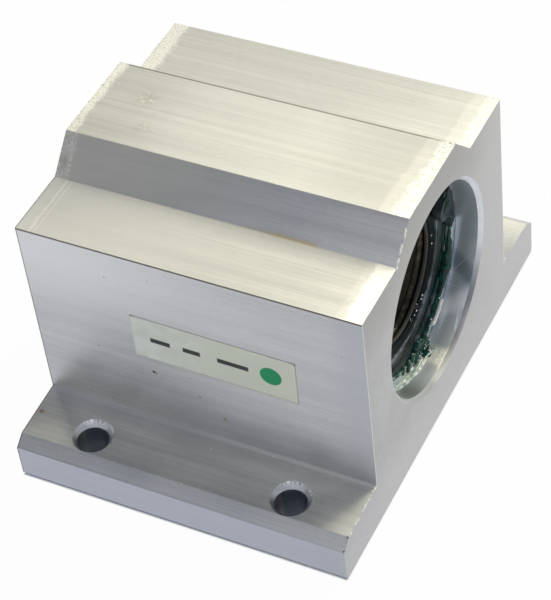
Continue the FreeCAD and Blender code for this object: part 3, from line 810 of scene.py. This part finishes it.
def lathe(work, profile, steps):
    """Turn a closed profile of places along the shaft and radii about the shaft's line."""
    hoops = []
    for step in range(steps):
        angle = 2 * math.pi * step / steps
        hoops.append([work.verts.new((x, r * math.cos(angle), SHAFT_HEIGHT + r * math.sin(angle)))
                      for x, r in profile])
    for step, hoop in enumerate(hoops):
        beyond = hoops[(step + 1) % steps]
        for index in range(len(profile)):
            following = (index + 1) % len(profile)
            work.faces.new((hoop[index], hoop[following], beyond[following], beyond[index]))


def make_bushing():
    """Both ends' rings, clips and wipers and the sleeve, with finishes for the kept inner pieces."""
    clip = circlip_steel()
    ring = oiled_steel("end_ring_steel", (0.26, 0.30, 0.32), (0.030, 0.050, 0.052), 0.3, 12.4)
    sleeve = oiled_steel("sleeve_steel", (0.10, 0.11, 0.12), (0.008, 0.022, 0.022), 0.32, 12.6)
    rubber = seal_rubber()
    for where, end in (("front", 1), ("rear", -1)):
        dress_steel(f"spring_clip_{where}", f"circlip_{where}", clip, "circlip", 0.14 * MM)
        dress_steel(f"bushing_end_{where}", f"end_ring_{where}", ring, "end_ring", 0.1 * MM)
        make_seal(f"wiper_{where}", f"seal_{where}", rubber, end)
    dress_steel("bushing_sleeve", "bearing_sleeve", sleeve, "sleeve", 0.08 * MM)
    cage, plate = cage_polymer(), polished_steel("plate_steel", (0.30, 0.27, 0.22), 0.38)
    ball = polished_steel("ball_steel", (0.75, 0.75, 0.76), 0.06)
    kept = {"ball_cage": cage}
    for number in range(1, CIRCUITS + 1):
        kept[f"load_plate_{number}"] = plate
        kept[f"ball_circuit_{number}"] = ball
    for node, material in kept.items():
        for place in frame["nodes"][node].material_slots:
            place.material = material


# ---------------------------------------------------------------------------
# Grease
# ---------------------------------------------------------------------------
CLIP_FACE = 21.965
CLIP_BACK = 20.695
CLIP_EDGE = 14.25
# Each drop: place along the bore, angle, distance from the shaft's line, and radius.
LUMP_DROPS = (
    (21.8, -82, 14.9, 1.3), (21.8, -87, 13.9, 1.15), (21.8, -90, 15.0, 1.1), (21.9, -78, 14.6, 0.8),
    (21.9, -95, 14.2, 0.8), (21.9, -101, 14.7, 0.9), (21.8, -108, 14.4, 0.8))
EYE_DROPS = (
    (21.9, 14, 13.42, 1.15), (21.9, 9, 13.7, 0.9), (21.9, 4, 14.2, 0.8), (21.9, 20, 13.9, 0.7),
    (21.9, 26, 14.0, 0.5), (21.9, 0, 14.8, 0.75), (21.9, -3, 15.2, 0.5))
LIP_GREASE = (
    (18.34, 10.7), (18.34, 10.02), (18.7, 9.97), (19.0, 10.06), (19.2, 10.3), (19.12, 10.7))


def grease(name, deep, pale, share, ripple=0.4, gloss=1.0):
    """Clear glossy grease: deep green where thick, paler where it is drawn thin."""
    finish = Finish(name)
    x, y, z = finish.axes()
    body = finish.noise(finish.point(x, y, z), scale=0.95, detail=3.0, roughness=0.6)
    lumps = finish.noise(finish.point(x, y, z), scale=2.6, detail=2.0)
    colour = finish.mix(deep, pale, (body + share).rise(0.35, 0.75))
    return finish.done(
        Base_Color=colour, Roughness=0.14, Coat_Weight=gloss, Coat_Roughness=0.03, IOR=1.48,
        Specular_IOR_Level=0.5 * gloss,
        Normal=finish.bump(lumps, ripple, 0.08 * MM))


def bore_point(x, degrees, radius):
    """A place in the bore, from millimetres along it, an angle from +Y towards +Z, and a radius."""
    angle = math.radians(degrees)
    return Vector((x * MM, radius * MM * math.cos(angle), SHAFT_HEIGHT + radius * MM * math.sin(angle)))


def bead(work, centres, radii, sides=10):
    """A closed soft string through centres, with its own radius at each."""
    hoops = []
    for index, (centre, radius) in enumerate(zip(centres, radii)):
        ahead = centres[min(index + 1, len(centres) - 1)]
        behind = centres[max(index - 1, 0)]
        along = (ahead - behind).normalized()
        side = along.cross(Vector((1, 0, 0))).normalized()
        other = along.cross(side)
        hoops.append([
            work.verts.new(centre + radius * (math.cos(turn) * side + math.sin(turn) * other))
            for turn in (2 * math.pi * step / sides for step in range(sides))])
    for hoop, beyond in zip(hoops, hoops[1:]):
        for step in range(sides):
            following = (step + 1) % sides
            work.faces.new((hoop[step], hoop[following], beyond[following], beyond[step]))
    work.faces.new(reversed(hoops[0]))
    work.faces.new(hoops[-1])


def smear(work, span_x, span_turn, cells, thickness):
    """A patch of grease on the bored seat; where its thickness is below 0 it sinks into the metal."""
    columns, rows = cells
    layers = []
    for buried in (False, True):
        grid = []
        for row in range(rows + 1):
            turn = span_turn[0] + (span_turn[1] - span_turn[0]) * row / rows
            for column in range(columns + 1):
                x = span_x[0] + (span_x[1] - span_x[0]) * column / columns
                rim = row in (0, rows) or column in (0, columns)
                depth = -0.06 if buried else (-0.05 if rim else max(-0.05, thickness(x, turn)))
                grid.append(work.verts.new(bore_point(x, turn, SEAT_RADIUS / MM - depth)))
        layers.append(grid)
    join_layers(work, layers[0], layers[1], columns, rows)


def string_place(turn):
    """How far out along the bore the pale string of grease lies at an angle."""
    marks = ((-134, 22.25), (-122, 22.45), (-110, 22.67), (-101, 22.86), (-94, 22.98),
             (-87, 22.95), (-80, 23.5))
    for (low, a), (high, b) in zip(marks, marks[1:]):
        if turn <= high:
            share = max(0.0, (turn - low) / (high - low))
            return a + (b - a) * share
    return marks[-1][1]


def pale_thickness(x, turn):
    """The drawn-out string along the front of the smear, and the thin film behind it."""
    edge = string_place(turn) + 0.08 * noise_at(turn * 0.25, 0.0, 1.0)
    ends = min(1.0, (turn + 136) / 8) * min(1.0, (-79 - turn) / 5)
    string = 0.36 * math.exp(-((x - edge) / 0.15) ** 2) * ends
    fine = abs(noise_at(x * 2.6, turn * 0.3, 2.0))
    wrinkles = 0.2 * noise_at(x * 1.5, turn * 0.12, 5.0) + 0.12 * fine
    thins = min(1.0, max(0.0, (turn + 123) / 12))
    film = (0.06 + wrinkles) * ends * thins if x < edge - 0.3 else -0.05
    return max(string, film) - 0.01


def green_thickness(x, turn):
    """The thick green lump that rides out of the clip's groove."""
    across, around = (x - 21.3) / 1.25, (turn + 80) / 8.0
    lump = 0.5 * (1.0 - across ** 2 - around ** 2)
    arm = 0.3 * (1.0 - ((turn + 80.5 + (x - 21.3) * 1.6) / 4.6) ** 2) - max(0.0, (x - 22.9) * 0.55)
    trail = 0.2 * (1.0 - ((x - 21.1) / 0.8) ** 2) - max(0.0, (abs(turn + 98) - 24) * 0.05)
    lumpy = 0.12 * noise_at(x * 1.8, turn * 0.16, 9.0) + 0.05 * noise_at(x * 3.4, turn * 0.4, 4.0)
    return max(lump, arm, trail) + lumpy - 0.02


def noise_at(a, b, c):
    """Smooth noise from -1 to 1, the same each run."""
    return noise.noise(Vector((a, b, c)))


def make_grease():
    """Fresh green grease in the visible mouth, and old grease behind both lips."""
    dark = grease("dark_grease", (0.003, 0.030, 0.025), (0.010, 0.16, 0.105), -0.06, 0.2, 0.3)
    deepest = grease("deepest_grease", (0.002, 0.014, 0.013), (0.006, 0.045, 0.036), 0.0, 0.2, 0.2)
    pale = grease("pale_grease", (0.14, 0.25, 0.20), (0.80, 0.86, 0.80), 0.06, 0.4)
    # Near-white grease for the glint bead and the drops: painted highlights.
    shine = grease("drawn_grease", (0.55, 0.66, 0.60), (0.95, 0.97, 0.94), 0.3)

    ring = bmesh.new()
    turns = [-150 + 0.9 * step for step in range(161)]
    centres, radii = [], []
    for turn in turns:
        swell = noise_at(turn * 0.08, 2.0, 0.0) * 0.6 + noise_at(turn * 0.2, 7.0, 0.0) * 0.3
        wide = math.exp(-((turn + 32) / 9) ** 2) * 0.4
        thick = (0.40 + wide + 0.28 * swell) * min(1.0, (turn + 151) / 10, (-2 - turn) / 14)
        radii.append(max(0.02, thick) * MM)
        centres.append(bore_point(CLIP_FACE - 0.25 + 0.25 * noise_at(turn * 0.2, 4.0, 0.0), turn,
                                  CLIP_EDGE + wide * 0.5 + 0.18 * noise_at(turn * 0.1, 0.0, 3.0)))
    bead(ring, centres, radii)
    centres = [bore_point(CLIP_BACK + 0.05, turn, CLIP_EDGE + 0.3) for turn in turns]
    bead(ring, centres, [
        max(0.03, 0.32 + 0.2 * noise_at(turn * 0.16, 11.0, 0.0)) * MM for turn in turns])
    link_piece("grease_ring", finished_mesh(ring, "grease_ring"), [dark], "seal")

    lump = bmesh.new()
    smear(lump, (20.75, 24.2), (-126, -68), (90, 220), green_thickness)
    add_drops(lump, LUMP_DROPS, 0.5, 4)
    link_piece("grease_lump", finished_mesh(lump, "grease_lump"), [dark], "seal")

    film = bmesh.new()
    smear(film, (21.6, 24.0), (-138, -76), (90, 240), pale_thickness)
    link_piece("grease_smear", finished_mesh(film, "grease_smear"), [pale], "seal")

    glint = bmesh.new()
    turns = [-68 + 0.5 * step for step in range(33)]
    centres = [bore_point(22.25 + 0.15 * noise_at(turn * 0.5, 1.0, 0.0), turn,
                          14.75 + 0.4 * noise_at(turn * 0.3, 6.0, 2.0)) for turn in turns]
    bead(glint, centres, [
        max(0.05, 0.32 + 0.22 * noise_at(turn * 0.25, 3.0, 8.0)) * MM for turn in turns])
    link_piece("grease_glint", finished_mesh(glint, "grease_glint"), [shine], "seal")

    plug = bmesh.new()
    add_drops(plug, EYE_DROPS, 0.3, 3)
    link_piece("grease_in_eye", finished_mesh(plug, "grease_in_eye"), [deepest], "seal")

    packed = bmesh.new()
    for end in (1, -1):
        lathe(packed, [(end * x * MM, radius * MM) for x, radius in LIP_GREASE], 96)
    old = grease("old_grease", (0.085, 0.080, 0.052), (0.20, 0.18, 0.125), 0.0, 0.3, 0.2)
    link_piece("grease_behind_lips", finished_mesh(packed, "grease_behind_lips"), [old], "seal")

    # Small drops on the seal and the clip, near-white as painted highlights.
    drops = bmesh.new()
    rng = random.Random(8)
    for _ in range(16):
        turn = rng.uniform(-80, -45)
        radius = rng.choice((10.5, 11.2, 11.35)) + rng.uniform(-0.2, 0.3)
        add_drop(drops, bore_point(20.2, turn, radius), rng.uniform(0.03, 0.08) * MM)
    for turn in (-54, -57, -67, -71, -5, -13):
        place = bore_point(20.3, turn, 11.2 + 0.3 * rng.uniform(-1, 1))
        add_drop(drops, place, rng.uniform(0.14, 0.2) * MM)
    for _ in range(26):
        turn, radius = rng.gauss(-84, 5), rng.uniform(14.4, 15.3)
        add_drop(drops, bore_point(rng.uniform(21.9, 22.6), turn, radius), rng.uniform(0.05, 0.13) * MM)
    for turn, radius in ((-66, 13.9), (-56, 14.6), (-52, 14.2), (-70, 14.2)):
        add_drop(drops, bore_point(22.0, turn, radius), rng.uniform(0.12, 0.18) * MM)
    link_piece("grease_drops", finished_mesh(drops, "grease_drops"), [shine], "seal")


def add_drops(work, drops, flat, fineness):
    """Drops from a table of their places and sizes."""
    for x, turn, radius, size in drops:
        add_drop(work, bore_point(x, turn, radius), size * MM, flat, fineness)


def add_drop(work, centre, radius, flat=0.7, fineness=2):
    """A rounded drop, a little uneven, flattened along the bore."""
    made = bmesh.ops.create_icosphere(work, subdivisions=fineness, radius=radius)
    for vert in made["verts"]:
        bulge = 1.0 + 0.15 * noise_at(vert.co.x / radius, vert.co.y / radius, centre.y / MM)
        vert.co = centre + Vector((vert.co.x * flat, vert.co.y, vert.co.z)) * bulge


make_sticker()
make_bushing()
make_grease()


# ---------------------------------------------------------------------------
# Floor, lamps and camera
# ---------------------------------------------------------------------------
PAPER = (0.80, 0.81, 0.83)
PAPER_SHINE = (0.90, 0.92, 1.0)
SKY = (0.035, 0.05, 0.09)
FLOOR_REACH = 4.0
FLOOR_DROP = 0.05 * MM
CAMERA_PLACE = (0.119049, -0.197569, 0.243213)
CAMERA_TARGET = (0.00197, -0.00424, 0.01735)
CAMERA_ROLL = math.radians(-7.47)
CAMERA_LENS = 132.21


def make_floor():
    """White paper that shines round the block and is plain right under it."""
    work = bmesh.new()
    corners = [work.verts.new((x * FLOOR_REACH, y * FLOOR_REACH, -FLOOR_DROP))
               for x, y in ((-1, -1), (1, -1), (1, 1), (-1, 1))]
    work.faces.new(corners)
    mesh = bpy.data.meshes.new("floor")
    work.to_mesh(mesh)
    work.free()
    floor = bpy.data.objects.new("floor", mesh)
    bpy.context.scene.collection.objects.link(floor)
    finish = Finish("floor_paper")
    camera, *others = [finish.node("LightPath", output=f"Is {kind} Ray")
                       for kind in ("Camera", "Glossy", "Transmission")]
    paper = finish.node("BsdfDiffuse", {"Color": opaque(PAPER)})
    shine = finish.mix(PAPER_SHINE, (1.0, 1.0, 1.0), camera)
    white = finish.node("Emission", {"Color": shine, "Strength": 1.0})
    x, y, _ = finish.axes()
    clear = (x.size() - HALF_LENGTH / MM).largest(y.size() - HOUSING_HIGH.y / MM).rise(-0.2, 0.2)
    share = (camera * 0.97 + (others[0] + others[1]) * 0.72) * clear
    shader = finish.node("MixShader", {0: share.smallest(1.0), 1: paper, 2: white})
    finish.node("OutputMaterial", {"Surface": shader})
    mesh.materials.append(finish.made)


def aim(thing, place, target, roll=0.0):
    """Stand a lamp or camera at a place, looking at a target, turned about its own line of sight."""
    toward = Vector(target) - Vector(place)
    turn = toward.to_track_quat("-Z", "Y").to_matrix().to_4x4()
    thing.matrix_world = Matrix.Translation(place) @ turn @ Matrix.Rotation(roll, 4, "Z")


def add_lamp(name, place, size, power, colour):
    """A soft box that faces the block."""
    data = bpy.data.lights.new(name, "AREA")
    data.shape = "RECTANGLE"
    data.size, data.size_y = size
    data.energy = power
    data.color = colour
    lamp = bpy.data.objects.new(name, data)
    bpy.context.scene.collection.objects.link(lamp)
    aim(lamp, place, (0, 0, 0.02))


def make_world():
    """A pale band round the horizon under a dim cool sky, as round a shooting table."""
    finish = Finish("studio", "worlds")
    bpy.context.scene.world = finish.made
    height = finish.split(finish.node("TexCoord", output="Generated"))[2]
    colour = finish.mix((1.0, 1.0, 1.0), SKY, height.rise(0.16, 0.45))
    sky = finish.node("Background", {"Color": colour, "Strength": 1.0})
    finish.node("OutputWorld", {"Surface": sky})


def make_camera():
    """A long lens that looks down on the block from its front right corner."""
    data = bpy.data.cameras.new("camera")
    data.sensor_fit = "VERTICAL"
    data.sensor_height = 36.0
    data.lens = CAMERA_LENS
    data.clip_start, data.clip_end = 0.01, 20.0
    camera = bpy.data.objects.new("camera", data)
    bpy.context.scene.collection.objects.link(camera)
    aim(camera, CAMERA_PLACE, CAMERA_TARGET, CAMERA_ROLL)
    bpy.context.scene.camera = camera


WARM = (1.0, 0.95, 0.76)
COOL = (0.87, 0.888, 1.0)
LAMPS = {
    "key_lamp": ((0.30, 0.75, 0.65), (0.28, 0.30), 6.27, WARM),
    "back_lamp": ((0.0, 0.75, 0.65), (0.6, 0.5), 2.0, WARM),
    "back_left_lamp": ((-0.50, 0.60, 0.65), (0.4, 0.4), 0.99, WARM),
    "overhead_lamp": ((0.0, 0.0, 0.95), (0.6, 0.6), 1.58, WARM),
    "front_lamp": ((-0.30, -0.50, 0.80), (0.5, 0.5), 0.45, COOL),
    "near_lamp": ((0.22, -0.39, 0.84), (0.22, 0.22), 0.95, COOL),
    "left_lamp": ((-0.85, 0.0, 0.40), (0.5, 0.5), 0.42, COOL),
}

make_floor()
for lamp_name, lamp_terms in LAMPS.items():
    add_lamp(lamp_name, *lamp_terms)
make_world()
make_camera()
bpy.context.scene.view_settings.view_transform = "Standard"
